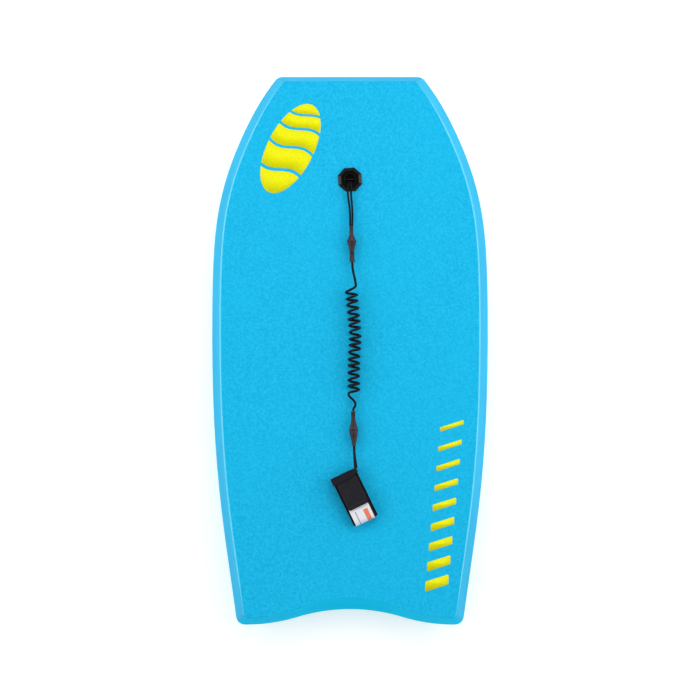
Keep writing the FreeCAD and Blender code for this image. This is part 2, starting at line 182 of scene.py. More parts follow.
class Finish:
    # The nodes of a material, or of the room round the board.
    def __init__(self, name, kind=bpy.data.materials, shader="Principled BSDF"):
        self.owner = kind.new(name)
        self.owner.use_nodes = True
        self.nodes = self.owner.node_tree.nodes
        self.links = self.owner.node_tree.links
        self.shader = self.nodes[shader]

    def feed(self, socket, value):
        if isinstance(value, Flow):
            self.links.new(value.socket, socket)
        else:
            socket.default_value = value

    def add(self, kind, settings=None, inputs=None, output=0):
        node = self.nodes.new(kind)
        for key, value in (settings or {}).items():
            if key == "stops":
                for element, (position, tone) in zip(node.color_ramp.elements, value):
                    element.position = position
                    element.color = (tone, tone, tone, 1)
            else:
                setattr(node, key, value)
        for key, value in (inputs or {}).items():
            self.feed(node.inputs[key], value)
        return Flow(self, node.outputs[output])

    def place(self, turn=0.0, centre=(0, 0, 0), stretch=(1, 1, 1)):
        here = self.add("ShaderNodeTexCoord", output="Object")
        moved = self.add("ShaderNodeVectorMath", {"operation": "SUBTRACT"}, {0: here, 1: centre})
        inputs = {"Vector": moved, "Rotation": (0, 0, turn), "Scale": stretch}
        return self.add("ShaderNodeMapping", None, inputs)

    def noise(self, grain, detail=2.0, where=None):
        # grain is the size of one blotch, in millimetres
        where = where or self.place()
        inputs = {"Vector": where, "Scale": 1 / (grain * mm), "Detail": detail}
        return self.add("ShaderNodeTexNoise", None, inputs)

    def cells(self, grain, where=None):
        where = where or self.place()
        return self.add("ShaderNodeTexVoronoi", None, {"Vector": where, "Scale": 1 / (grain * mm)})

    def ramp(self, value, *stops):
        # two stops, each a place and the grey there
        return self.add("ShaderNodeValToRGB", {"stops": stops}, {"Fac": value})

    def blend(self, share, first, second):
        # sockets 6 and 7 are the Mix node's two colours, and output 2 is the mixed one
        return self.add("ShaderNodeMix", {"data_type": "RGBA"}, {0: share, 6: first, 7: second}, 2)

    def axes(self, where):
        split = self.add("ShaderNodeSeparateXYZ", None, {0: where})
        return [Flow(self, socket) for socket in split.socket.node.outputs]

    def bump(self, height, depth, strength=1.0):
        # depth is how high the relief stands, in millimetres
        inputs = {"Height": height, "Strength": strength, "Distance": depth * mm}
        return self.add("ShaderNodeBump", None, inputs)

    def set(self, **values):
        for key, value in values.items():
            self.feed(self.shader.inputs[key.replace("_", " ")], value)
        return self.owner


def rgb(red, green, blue):
    def linear(c):
        c = c / 255
        return c / 12.92 if c <= 0.04045 else ((c + 0.055) / 1.055) ** 2.4
    return (linear(red), linear(green), linear(blue), 1)


def deckFoam():
    f = Finish("deckFoam")
    blotches = f.noise(4.2, 4.0)
    fine = f.noise(1.2, 2.0)
    wide = f.noise(120.0, 1.0)
    tone = f.ramp(0.5 * blotches + 0.5 * fine, (0.39, 0.0), (0.61, 1.0))
    colour = f.blend(tone, rgb(0, 170, 221), rgb(30, 195, 241))
    colour = f.blend(f.ramp(wide, (0.35, 0.0), (0.65, 0.25)), colour, rgb(14, 190, 238))
    relief = 0.6 * f.cells(1.3) + 0.4 * fine
    return f.set(Base_Color=colour, Roughness=0.62 + 0.16 * fine, Normal=f.bump(relief, 0.3, 0.6),
                 Specular_IOR_Level=0.14)


def railFoam(name, dark, light, stretch=(1, 0.12, 1), shine=0.25):
    f = Finish(name)
    along = f.noise(26.0, 3.0, f.place(stretch=stretch))
    fine = f.noise(2.4, 3.0)
    colour = f.blend(f.ramp(0.7 * along + 0.3 * fine, (0.36, 0.0), (0.64, 1.0)), dark, light)
    relief = 0.5 * fine + 0.5 * along
    return f.set(Base_Color=colour, Roughness=0.42 + 0.14 * fine, Normal=f.bump(relief, 0.2, 0.4),
                 Specular_IOR_Level=shine)


# The ridge bead is coloured paler than the rails, as a painted highlight along the rounded ridge.
def ridgeHighlightFoam():
    f = Finish("ridgeHighlightFoam")
    fine = f.noise(6.0, 3.0)
    colour = f.blend(fine, rgb(82, 208, 246), rgb(118, 228, 255))
    return f.set(Base_Color=colour, Roughness=0.38 + 0.1 * fine, Normal=f.bump(fine, 0.1, 0.3))


def slickSheet():
    f = Finish("slickSheet")
    wide = f.noise(160.0, 2.0)
    scuffs = f.noise(5.0, 4.0, f.place(stretch=(1, 0.06, 1)))
    colour = f.blend(f.ramp(wide, (0.35, 0.0), (0.65, 1.0)), rgb(194, 240, 78), rgb(204, 247, 94))
    peel = f.noise(9.0, 2.0)
    return f.set(Base_Color=colour, Roughness=0.26 + 0.16 * scuffs, Normal=f.bump(peel, 0.12, 0.5),
                 Specular_IOR_Level=0.5)


def beadFoam():
    f = Finish("beadFoam")
    beads = f.cells(3.4)
    colour = f.blend(f.ramp(beads, (0.2, 1.0), (0.8, 0.0)), rgb(214, 214, 210), rgb(246, 246, 242))
    return f.set(Base_Color=colour, Roughness=0.7 + 0.1 * beads, Normal=f.bump(1 - beads, 0.6, 0.7))


def blackPlastic():
    f = Finish("blackPlastic")
    wear = f.noise(6.0, 4.0)
    colour = f.blend(f.ramp(wear, (0.45, 0.0), (0.8, 1.0)), rgb(2, 2, 3), rgb(7, 7, 10))
    return f.set(Base_Color=colour, Roughness=0.14 + 0.14 * wear, Normal=f.bump(wear, 0.04, 0.3),
                 Specular_IOR_Level=0.22)


def swivelPlastic():
    f = Finish("swivelPlastic")
    grain = f.noise(1.2, 3.0)
    tone = f.noise(14.0, 2.0)
    colour = f.blend(f.ramp(tone, (0.35, 0.0), (0.65, 1.0)), rgb(40, 30, 34), rgb(64, 50, 56))
    return f.set(Base_Color=colour, Roughness=0.36 + 0.18 * grain, Normal=f.bump(grain, 0.05, 0.5),
                 Specular_IOR_Level=0.3)


def steel():
    f = Finish("steel")
    lines = f.noise(0.7, 2.0, f.place(stretch=(0.08, 1, 1)))
    colour = f.blend(lines, rgb(168, 168, 170), rgb(206, 206, 208))
    return f.set(Base_Color=colour, Roughness=0.24 + 0.16 * lines, Metallic=1.0)


def braidedString():
    f = Finish("braidedString")
    where = f.add("ShaderNodeUVMap", {"uv_map": "UVMap"})
    along, around, _ = f.axes(where)
    along *= stringSettings["braidTurns"] * math.tau
    around *= stringSettings["braidStrands"] * math.tau
    oneWay = (along + around).sine()
    other = (along - around).sine()
    relief = 0.5 * oneWay.size() + 0.5 * other.size()
    colour = f.blend(f.ramp(relief, (0.2, 0.0), (0.9, 1.0)), rgb(2, 2, 4), rgb(16, 16, 23))
    return f.set(Base_Color=colour, Roughness=0.5 + 0.15 * relief, Normal=f.bump(relief, 0.3, 0.8),
                 Specular_IOR_Level=0.14)


def cordPlastic():
    f = Finish("cordPlastic")
    tone = f.noise(9.0, 2.0)
    colour = f.blend(f.ramp(tone, (0.35, 0.0), (0.65, 1.0)), rgb(5, 5, 10), rgb(14, 13, 20))
    return f.set(Base_Color=colour, Roughness=0.2 + 0.12 * tone, Normal=f.bump(f.noise(1.6), 0.03, 0.3),
                 Specular_IOR_Level=0.16)


def neoprene():
    f = Finish("neoprene")
    knit = f.cells(0.9)
    tone = f.noise(8.0, 3.0)
    colour = f.blend(f.ramp(tone, (0.3, 0.0), (0.7, 1.0)), rgb(5, 6, 11), rgb(16, 17, 25))
    return f.set(Base_Color=colour, Roughness=0.76 + 0.12 * knit, Normal=f.bump(knit, 0.2, 0.7),
                 Specular_IOR_Level=0.15, Sheen_Weight=0.05, Sheen_Roughness=0.5)


def webbing(name, dark, light, pick=1.3):
    # pick is the spacing of the weave, in millimetres
    f = Finish(name)
    along, across, _ = f.axes(f.place(turn=-cuffTurn, centre=cuffOrigin))
    turns = math.pi / (pick * mm)
    ribs = (along * turns).sine().size()
    threads = (across * (turns * 0.5) + (along * (turns * 2)).sine() * 0.8).sine().size()
    relief = 0.65 * ribs + 0.35 * threads
    worn = f.noise(11.0, 3.0)
    colour = f.blend(f.ramp(0.6 * relief + 0.4 * worn, (0.25, 0.0), (0.85, 1.0)), dark, light)
    return f.set(Base_Color=colour, Roughness=0.66 + 0.14 * relief, Normal=f.bump(relief, 0.35, 0.8),
                 Specular_IOR_Level=0.15, Sheen_Weight=0.05, Sheen_Roughness=0.5)


def hookAndLoop():
    f = Finish("hookAndLoop")
    pile = f.noise(0.7, 4.0)
    clumps = f.cells(1.6)
    colour = f.blend(f.ramp(pile, (0.35, 0.0), (0.65, 1.0)), rgb(8, 8, 10), rgb(44, 44, 50))
    relief = 0.5 * pile + 0.5 * clumps
    return f.set(Base_Color=colour, Roughness=0.86 + 0.1 * pile, Normal=f.bump(relief, 0.5, 1.0),
                 Specular_IOR_Level=0.2, Sheen_Weight=0.15, Sheen_Roughness=0.4)


def labelCloth(name, dark, light):
    f = Finish(name)
    along, _, _ = f.axes(f.place(turn=-cuffTurn, centre=cuffOrigin))
    satin = (along * (math.pi / (0.5 * mm))).sine().size()
    soil = f.noise(9.0, 3.0)
    colour = f.blend(f.ramp(0.5 * satin + 0.5 * soil, (0.25, 0.0), (0.7, 1.0)), dark, light)
    return f.set(Base_Color=colour, Roughness=0.42 + 0.15 * satin, Normal=f.bump(satin, 0.06, 0.5))


def printInk(name, thin, full):
    f = Finish(name)
    grain = f.noise(2.2, 4.0)
    colour = f.blend(f.ramp(grain, (0.36, 0.0), (0.56, 1.0)), thin, full)
    return f.set(Base_Color=colour, Roughness=0.45 + 0.2 * grain, Normal=f.bump(f.cells(1.7), 0.15, 0.4),
                 Specular_IOR_Level=0.14)


# routes: smooth lines through the air, from the points that a cord follows

def addRoute(name, points, depth=0.0, sides=6):
    data = bpy.data.curves.new(name, "CURVE")
    data.dimensions = "3D"
    data.bevel_depth = depth
    data.bevel_resolution = sides
    data.resolution_u = 8
    data.use_fill_caps = True
    spline = data.splines.new("NURBS")
    spline.points.add(len(points) - 1)
    for slot, point in zip(spline.points, points):
        slot.co = (*point, 1)
    spline.order_u = 3
    spline.use_endpoint_u = True
    return addObject(name, data)


def lineAlong(points):
    bare = addRoute("bare", points)
    mesh = bpy.data.meshes.new_from_object(bare)
    line = [v.co.copy() for v in mesh.vertices]
    bpy.data.meshes.remove(mesh)
    bpy.data.curves.remove(bare.data)
    return line


def lengthOf(line):
    return sum((b - a).length for a, b in zip(line, line[1:]))


def pointAt(line, share):
    # the place and direction at that share of a line's length
    left = share * lengthOf(line)
    for a, b in zip(line, line[1:]):
        step = (b - a).length
        if left <= step or b is line[-1]:
            return a + (b - a) * (left / step), (b - a).normalized()
        left -= step


def fromPlug(points):
    return [plugAxis + Vector(p) * mm for p in points]


def declareCord(made, path=None):
    cord, points = made
    lengthOf(lineAlong(points))


# plug string: two strands side by side under the plug's bar

stringSettings = {
    "diameter": 3.4,
    "braidTurns": 26,
    "braidStrands": 4,
    # centre X, half the strands' spacing, Y from the plug, height above the deck
    "route": [
        (0.0, 1.90, -3.6, -0.6), (0.0, 2.10, -6.6, 7.6), (-0.8, 2.80, -15.4, 8.1),
        (-1.1, 2.70, -26.5, 7.0), (0.9, 2.35, -41.0, 5.5), (2.2, 2.05, -57.0, 5.9),
        (2.4, 1.85, -69.0, 7.2), (2.1, 1.78, -80.0, 8.1),
    ],
}


def addStrings():
    s = stringSettings
    finish = braidedString()
    strands = []
    for node, side in (("string_left", -1), ("string_right", 1)):
        points = fromPlug([(x + side * gap, y, z) for x, gap, y, z in s["route"]])
        strand = addRoute(node + "_strand", points, s["diameter"] / 2 * mm)
        settle(strand, finish, [node])
        strands.append((strand, points))
    return strands


# coiled cord: a helix round the coil's own line, with a straight stretch at each end

cordSettings = {
    "diameter": 4.2,
    "upper": [(3.8, -141.1, 8.1), (4.1, -152.5, 8.1), (8.6, -171.0, 8.9)],
    "coilLine": [(1.5, -185.6), (7.0, -238.0), (9.8, -273.0), (6.0, -308.0), (6.6, -364.0)],
    "coilHeight": 11.25,
    "coilRadius": 9.05,
    "halfTurns": 31,
    "pointsPerTurn": 16,
    "firstStretch": 4.0,
    # no two turns of a worn coil are quite the same: size, rate and shift of each slow wave,
    # first in the radius as a share of it, then along the coil
    "looseness": [(0.018, 0.43, 0.6), (0.012, 0.97, 0.0)],
    "drift": [(0.9, 0.31, 0.0), (0.5, 0.73, 1.0)],
    "lower": [
        (-2.4, -368.4, 9.0), (4.4, -374.4, 7.9), (9.4, -380.2, 7.4),
        (8.8, -386.4, 7.2), (5.4, -390.2, 7.5), (5.3, -394.2, 7.6),
    ],
}


def wander(waves, angle):
    return sum(size * math.sin(angle * rate + shift) for size, rate, shift in waves)


def coilPoints():
    s = cordSettings
    line = lineAlong(fromPlug([(x, y, s["coilHeight"]) for x, y in s["coilLine"]]))
    steps = s["halfTurns"] * s["pointsPerTurn"] // 2
    points = []
    for k in range(steps + 1):
        share = k / steps
        angle = share * s["halfTurns"] * math.pi
        centre, along = pointAt(line, share)
        across = along.cross(Vector((0, 0, 1))).normalized() * -1
        if across.x < 0:
            across = -across
        fade = min(1.0, angle / math.pi, (s["halfTurns"] * math.pi - angle) / math.pi)
        radius = s["coilRadius"] * (1 + wander(s["looseness"], angle) * fade)
        point = centre + (across * math.cos(angle) + Vector((0, 0, 1)) * math.sin(angle)) * radius * mm
        lead = s["firstStretch"] * max(0.0, 1 - angle / math.pi) ** 2
        points.append(point - along * (lead - wander(s["drift"], angle) * fade) * mm)
    return points


def addCord():
    s = cordSettings
    points = fromPlug(s["upper"]) + coilPoints() + fromPlug(s["lower"])
    cord = addRoute("leash_cord", points, s["diameter"] / 2 * mm, 5)
    cord.data.resolution_u = 3
    settle(cord, cordPlastic(), ["cord_upper_end", "cord_coil", "cord_lower_end"])
    return cord, points


# webbing tab: a folded strip from the lower swivel to the keeper band

tabSettings = {
    "width": 5.4,
    "widening": (0.84, 1.16),   # shares of the width at the swivel and at the band
    "widensFrom": 0.3,
    "thickness": 2.4,
    "route": [(7.0, -454.4, 7.6), (7.4, -466.0, 8.2), (8.4, -478.0, 9.6), (10.0, -491.8, 10.4)],
}


def addTab():
    s = tabSettings
    points = fromPlug(s["route"])
    line = lineAlong(points)
    bm = bmesh.new()
    bmesh.ops.create_grid(bm, x_segments=30, y_segments=5, size=0.5)
    for v in bm.verts:
        middle, heading = pointAt(line, v.co.x + 0.5)
        sideways = heading.cross(Vector((0, 0, 1))).normalized() * -1
        near, far = s["widening"]
        wide = near + (far - near) * smoothStep(v.co.x + 0.5, s["widensFrom"], 1.0)
        v.co = middle + sideways * v.co.y * wide * s["width"] * mm
    tab = finishCloth("tab_strip", bm, s["thickness"], 0.8, 0.0)
    settle(tab, webbing("tabWebbing", rgb(8, 8, 14), rgb(34, 34, 44), 1.0), ["webbing_tab"])
    return tab, points


# swivels: moulded halves that turn about a steel pin

swivelSettings = {
    # distance along the axis from where the halves meet, and radius
    "upperYoke": [
        (-26.4, 0.0), (-26.4, 2.7), (-25.9, 3.35), (-22.4, 3.5), (-22.0, 3.15), (-21.2, 3.15), (-20.8, 3.5),
        (-19.6, 3.5), (-19.2, 3.15), (-18.4, 3.15), (-18.0, 3.5), (-12.4, 3.6), (-7.0, 5.0), (-3.4, 7.2),
        (-1.6, 7.85), (-0.6, 7.85), (-0.15, 7.4), (-0.15, 0.0),
    ],
    "upperBarrel": [
        (12.4, 0.0), (12.4, 3.1), (9.3, 3.1), (9.3, 1.8), (0.15, 1.8), (0.15, 7.4), (0.6, 7.85),
        (1.8, 7.75), (5.0, 6.5), (9.6, 4.9), (14.6, 4.15), (22.0, 4.1), (22.4, 3.7), (23.2, 3.7),
        (23.6, 4.15), (25.0, 4.2), (25.4, 3.8), (26.2, 3.8), (26.6, 4.25), (33.6, 4.45), (34.4, 4.1),
        (34.6, 3.4), (34.6, 0.0),
    ],
    "lowerBarrel": [
        (-33.0, 0.0), (-33.0, 3.1), (-32.5, 3.7), (-28.0, 3.75), (-27.6, 3.35), (-26.8, 3.35), (-26.4, 3.72),
        (-25.0, 3.7), (-24.6, 3.3), (-23.8, 3.3), (-23.4, 3.66), (-18.0, 3.6), (-12.0, 4.6), (-7.0, 6.2),
        (-3.0, 7.2), (-0.6, 7.35), (-0.15, 6.9), (-0.15, 1.8), (-9.3, 1.8), (-9.3, 3.1), (-12.4, 3.1),
        (-12.4, 0.0),
    ],
    "lowerYoke": [
        (0.15, 0.0), (0.15, 6.9), (0.6, 7.35), (2.4, 7.2), (7.0, 6.3), (12.0, 5.3), (17.0, 4.6), (20.0, 4.2),
        (20.4, 3.8), (21.2, 3.8), (21.6, 3.95), (26.2, 3.1), (26.8, 2.4), (26.8, 0.0),
    ],
    "turns": 40,
}


def addTurned(name, node, profile, joint, body, finish):
    origin, axis = Vector(joint["pos_m"]), Vector(joint["axis"])
    bm = bmesh.new()
    ring = [bm.verts.new((radius * mm, 0, along * mm)) for along, radius in profile]
    edges = [bm.edges.new(pair) for pair in zip(ring, ring[1:])]
    bmesh.ops.spin(bm, geom=ring + edges, cent=(0, 0, 0), axis=(0, 0, 1), angle=math.tau,
                   steps=swivelSettings["turns"], use_merge=True, use_duplicate=False)
    bmesh.ops.remove_doubles(bm, verts=bm.verts, dist=1e-7)
    bmesh.ops.recalc_face_normals(bm, faces=bm.faces)
    turn = Vector((0, 0, 1)).rotation_difference(axis).to_matrix().to_4x4()
    bmesh.ops.transform(bm, matrix=Matrix.Translation(origin) @ turn, verts=bm.verts)
    piece = addMesh(name, bm, 50)
    return settle(piece, finish, [node], body)


def addSwivels():
    s = swivelSettings
    finish = swivelPlastic()
    made = {}
    for end in ("upper", "lower"):
        joint = joints[end + "_swivel"]
        for half, body in (("yoke", "board"), ("barrel", end + "_barrel")):
            key = end + half.title()
            node = end + "_swivel_" + half
            made[key] = addTurned(node + "_moulding", node, s[key], joint, body, finish)
    metal = steel()
    for node in ("upper_swivel_pin", "lower_swivel_pin"):
        paint(node, metal)
    return made


# board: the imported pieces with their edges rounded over

boardSettings = {
    "sharpFrom": 24.0,       # degrees between two faces, past which their edge is rounded
    "deckRound": 1.4,
    "slickRound": 0.5,
    "railRound": 0.84,
    "plugRound": 0.55,
    "slickPlugRound": 0.33,
}


def softened(name, node, width, finish, segments=3):
    # flat stretches are joined up first, so that only real edges are left to round
    bm = bmesh.new()
    bm.from_mesh(frame["nodes"][node].data)
    bmesh.ops.remove_doubles(bm, verts=bm.verts, dist=2e-6)
    bmesh.ops.dissolve_limit(bm, angle_limit=math.radians(0.6), verts=bm.verts, edges=bm.edges)
    sharpFrom = math.radians(boardSettings["sharpFrom"])
    sharp = [e for e in bm.edges if e.is_manifold and e.calc_face_angle() > sharpFrom]
    bmesh.ops.bevel(bm, geom=sharp, offset=width * mm, affect="EDGES", segments=segments, profile=0.5,
                    material=-1, clamp_overlap=True)
    piece = addMesh(name, bm, 40)
    addModifier(piece, "WEIGHTED_NORMAL", keep_sharp=True)
    return settle(piece, finish, [node])


def addBoard():
    s = boardSettings
    rail = railFoam("railFoam", rgb(8, 168, 214), rgb(26, 180, 227))
    # The nose and tail strips are copies of the rail foam in tones set for the lights: the nose a little
    # darker, as painted shade under the strong top light, and the tail much lighter, as painted light where
    # little of that light falls.
    nose = railFoam("noseFoamPaintedShade", rgb(10, 164, 212), rgb(22, 172, 222), (0.12, 1, 1), 0.1)
    tail = railFoam("tailFoamPaintedLight", rgb(0, 196, 244), rgb(0, 206, 252), (0.12, 1, 1), 0.04)
    softened("deck_sheet", "deck_skin", s["deckRound"], deckFoam())
    softened("slick_sheet", "slick_skin", s["slickRound"], slickSheet(), 2)
    for node in ("left_upper_rail", "right_upper_rail", "left_lower_rail", "right_lower_rail"):
        softened(node + "_foam", node, s["railRound"], rail)
    for node, foam in (("nose_strip", nose), ("tail_strip", tail)):
        softened(node + "_foam", node, s["railRound"], foam)
    black = blackPlastic()
    softened("deck_plug_moulding", "deck_plug", s["plugRound"], black)
    softened("slick_plug_moulding", "slick_plug", s["slickPlugRound"], black, 2)
    # The steel string bar gets the black plastic finish: its black is painted shade for the dark recess of
    # the plug round it.
    paint("string_bar", black)
    paint("foam_core", beadFoam())


# the sealed line where deck sheet and rail foam are welded, along each side, coloured pale as a painted
# highlight on the rounded ridge
# tip is how thick its ends are, as a share of its middle, and fade is how far they taper
ridgeSettings = {"width": 2.4, "rise": 0.45, "sink": 0.1, "tip": 0.2, "fade": 90.0}


def addRidges():
    s = ridgeSettings
    finish = ridgeHighlightFoam()
    for hand in ("left", "right"):
        mesh = frame["nodes"][hand + "_upper_rail"].data
        top = {(round(v.co.x, 5), round(v.co.y, 5)) for v in mesh.vertices if v.co.z > deckTop - 1e-5}
        line = sorted(top, key=lambda point: point[1])
        data = bpy.data.curves.new("ridge", "CURVE")
        data.dimensions = "3D"
        data.bevel_depth = s["width"] / 2 * mm
        data.bevel_resolution = 3
        data.use_fill_caps = True
        spline = data.splines.new("POLY")
        spline.points.add(len(line) - 1)
        for slot, (x, y) in zip(spline.points, line):
            slot.co = (x, y, 0, 1)
            fromEnd = min(y - line[0][1], line[-1][1] - y)
            slot.radius = s["tip"] + (1 - s["tip"]) * smoothStep(fromEnd, 0, s["fade"] * mm)
        curve = addObject("ridge", data)
        mesh = bpy.data.meshes.new_from_object(curve)
        bpy.data.curves.remove(data)
        squeeze = Matrix.Diagonal((1, 1, 2 * s["rise"] / s["width"], 1))
        mesh.transform(Matrix.Translation((0, 0, deckTop - s["sink"] * mm)) @ squeeze)
        for face in mesh.polygons:
            face.use_smooth = True
        # the bead's pale colour is a painted highlight on the ridge
        settle(addObject(hand + "_ridge_weld_highlight", mesh), finish)


# prints: thin generic shapes of ink

printSettings = {"film": 0.3, "lift": 0.05}
ovalSettings = {
    "centre": (-101.5, 345.0),
    "halfWidth": 39.5,
    "halfLength": 83.0,
    "lean": -27.0,           # degrees from the board's length
    "waveHeight": 7.0,
    "waveLength": 96.0,
    # the bands' edges up the oval, as shares of its half length; every second band is left bare
    "edges": [-1.1, -0.52, -0.45, 0.0, 0.06, 0.42, 0.48, 0.74, 0.79, 1.1],
    "columns": 40,
}
barSettings = {
    "deck": {
        "centre": (161.0, -262.0), "step": (3.2, 33.5), "count": 9, "size": (40.0, 17.0), "shrink": 0.9,
        "slant": 0.32, "corner": 2.5,
    },
    "slick": {
        "centre": (0.0, 390.0), "step": (28.0, 0.0), "count": 7, "size": (13.0, 32.0), "shrink": 1.0,
        "slant": 0.3, "corner": 2.0, "cuts": 7, "cutSpacing": 2.3,
    },
}


def cutAcross(bm, level, axis):
    normal = Vector((0, 0, 0))
    normal[axis] = 1
    place = normal * level
    geometry = bm.verts[:] + bm.edges[:] + bm.faces[:]
    bmesh.ops.bisect_plane(bm, geom=geometry, dist=1e-7, plane_co=place, plane_no=normal)


def addPrint(name, bm, ink):
    piece = addMesh(name, bm)
    addModifier(piece, "SOLIDIFY", thickness=printSettings["film"] * mm, offset=0)
    settle(piece, ink)


def addOval(ink):
    s = ovalSettings
    wide, high = s["halfWidth"] * mm, s["halfLength"] * mm
    wave = math.tau / (s["waveLength"] * mm)
    bm = bmesh.new()
    bmesh.ops.create_circle(bm, cap_ends=True, segments=128, radius=1)
    bmesh.ops.scale(bm, vec=(wide, high, 1), verts=bm.verts)

    def sway(sign):
        for v in bm.verts:
            v.co.y += sign * s["waveHeight"] * mm * math.sin(wave * v.co.x)

    sway(-1)
    for k in range(1, s["columns"]):
        cutAcross(bm, wide * (2 * k / s["columns"] - 1), 0)
    for share in s["edges"]:
        cutAcross(bm, high * share, 1)
    bands = list(zip(s["edges"], s["edges"][1:]))
    bare = []
    for face in bm.faces:
        level = face.calc_center_median().y / high
        if any(low < level < up for low, up in bands[1::2]):
            bare.append(face)
    bmesh.ops.delete(bm, geom=bare, context="FACES")
    sway(1)
    turn = Matrix.Rotation(math.radians(s["lean"]), 4, "Z")
    height = deckTop + printSettings["lift"] * mm
    place = Matrix.Translation((s["centre"][0] * mm, s["centre"][1] * mm, height))
    bmesh.ops.transform(bm, matrix=place @ turn, verts=bm.verts)
    addPrint("wave_oval_print", bm, ink)


def barRow(s):
    # a row that runs up the board has bars slanted in Y, and a row across it has them slanted in X
    bm = bmesh.new()
    middle = (s["count"] - 1) / 2
    upBoard = s["step"][1] > 0
    for k in range(s["count"]):
        size = s["shrink"] ** k
        made = bmesh.ops.create_grid(bm, x_segments=1, y_segments=1, size=0.5)["verts"]
        wide, high = s["size"]
        bmesh.ops.scale(bm, vec=(wide * mm, high * size * mm, 1), verts=made)
        corners = bmesh.ops.bevel(bm, geom=made, offset=s["corner"] * mm * size, affect="VERTICES",
                                  segments=4, profile=0.5, material=-1, clamp_overlap=True)["verts"]
        for v in corners:
            if upBoard:
                v.co.y += s["slant"] * v.co.x
            else:
                v.co.x += s["slant"] * v.co.y
            v.co.x += (s["centre"][0] + s["step"][0] * (k - middle)) * mm
            v.co.y += (s["centre"][1] + s["step"][1] * (k - middle)) * mm
    return bm


def addBars(deckInk, slickInk):
    lift = printSettings["lift"] * mm
    bm = barRow(barSettings["deck"])
    bmesh.ops.translate(bm, vec=(0, 0, deckTop + lift), verts=bm.verts)
    addPrint("deck_bar_print", bm, deckInk)

    # the slick is bent under its bars, so they are cut into strips and laid against it
    s = barSettings["slick"]
    bm = barRow(s)
    for k in range(-s["cuts"], s["cuts"] + 1):
        cutAcross(bm, (s["centre"][1] + k * s["cutSpacing"]) * mm, 1)
    skin = frame["nodes"]["slick_skin"].data
    tree = BVHTree.FromPolygons([v.co for v in skin.vertices], [tuple(f.vertices) for f in skin.polygons])
    for v in bm.verts:
        hit = tree.ray_cast(Vector((v.co.x, v.co.y, -0.1)), Vector((0, 0, 1)))[0]
        v.co = hit + Vector((0, 0, -lift))
    bmesh.ops.reverse_faces(bm, faces=bm.faces)
    addPrint("slick_bar_print", bm, slickInk)


# wrist cuff: a flattened loop of padding and webbing, closed by a flap
# Its own frame: P along the loop from the swivel's end, Q across it, and height.

cuffSettings = {
    "loopStart": 1.3, "loopEnd": 90.4,
    "strapThickness": 1.5, "strapWidth": 38.0,
    "padThickness": 3.0, "padWidth": 45.5, "padPuff": 0.56, "puffEdge": 1.2,
    "flapStart": 8.6, "flapHinge": 16.0, "flapEnd": 62.0, "flapThickness": 1.4, "flapCorner": 4.0,
    "sewnLength": 3.0, "sewnDip": 0.55,     # the dip is a share of the flap's height over the strap
    "bendStart": 12.6, "bendEnd": 21.6,
    "loopPatch": (20.0, 54.0), "hookPatch": (22.0, 57.0), "patchWidth": 34.0,
    "labelStart": 56.0, "labelSides": (-18.8, 16.5), "labelThickness": 0.3,
    # the label's stripe and line: where each starts along the loop, and its two sides across it
    "stripe": (69.5, 3.6, 11.4),
    "line": (67.5, -10.6, -9.4),
    "inlayThickness": 0.12,
    "keeperWidth": 12.2, "keeperThickness": 1.0, "keeperCorner": 3.0, "keeperRoom": 1.3, "keeperGrid": 2.0,
    "keeperNarrow": 0.42, "narrowFrom": 4.0, "narrowShift": 0.9,
    # the lie of every layer: a low crown along the loop, and a slight ripple
    "crown": 0.5, "crownSpan": (14.0, 84.0), "crownHalfWidth": 26.0,
    "ripple": 0.18, "rippleAlong": 0.21, "rippleAcross": 0.08,
}
peel = joints["flap_peel"]
cuffAcross = -Vector(peel["axis"])
cuffAlong = Vector((cuffAcross.y, -cuffAcross.x, 0))
cuffTurn = math.atan2(cuffAlong.y, cuffAlong.x)
cuffOrigin = Vector((peel["pos_m"][0], peel["pos_m"][1], 0)) - cuffAlong * cuffSettings["flapHinge"] * mm
cuffPlace = Matrix.Translation(cuffOrigin) @ Matrix.Rotation(cuffTurn, 4, "Z")
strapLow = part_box("cuff_strap")[0].z
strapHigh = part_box("loop_patch")[0].z
flapLow, flapHigh = (corner.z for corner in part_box("cuff_flap"))


def layDown(bm):
    # every layer of the cuff follows the same gentle lie, so none cuts another
    s = cuffSettings
    start, end = s["crownSpan"]
    for v in bm.verts:
        p, q = v.co.x / mm, v.co.y / mm
        reach = max(0.0, min(1.0, (p - start) / (end - start)))
        crown = s["crown"] * math.sin(math.pi * reach) * (1 - (q / s["crownHalfWidth"]) ** 2)
        ripple = s["ripple"] * math.sin(p * s["rippleAlong"] + q * s["rippleAcross"]) * min(1.0, reach * 4)
        v.co.z += (crown + ripple) * smoothStep(v.co.z, strapLow, strapHigh) * mm
    bmesh.ops.transform(bm, matrix=cuffPlace, verts=bm.verts)


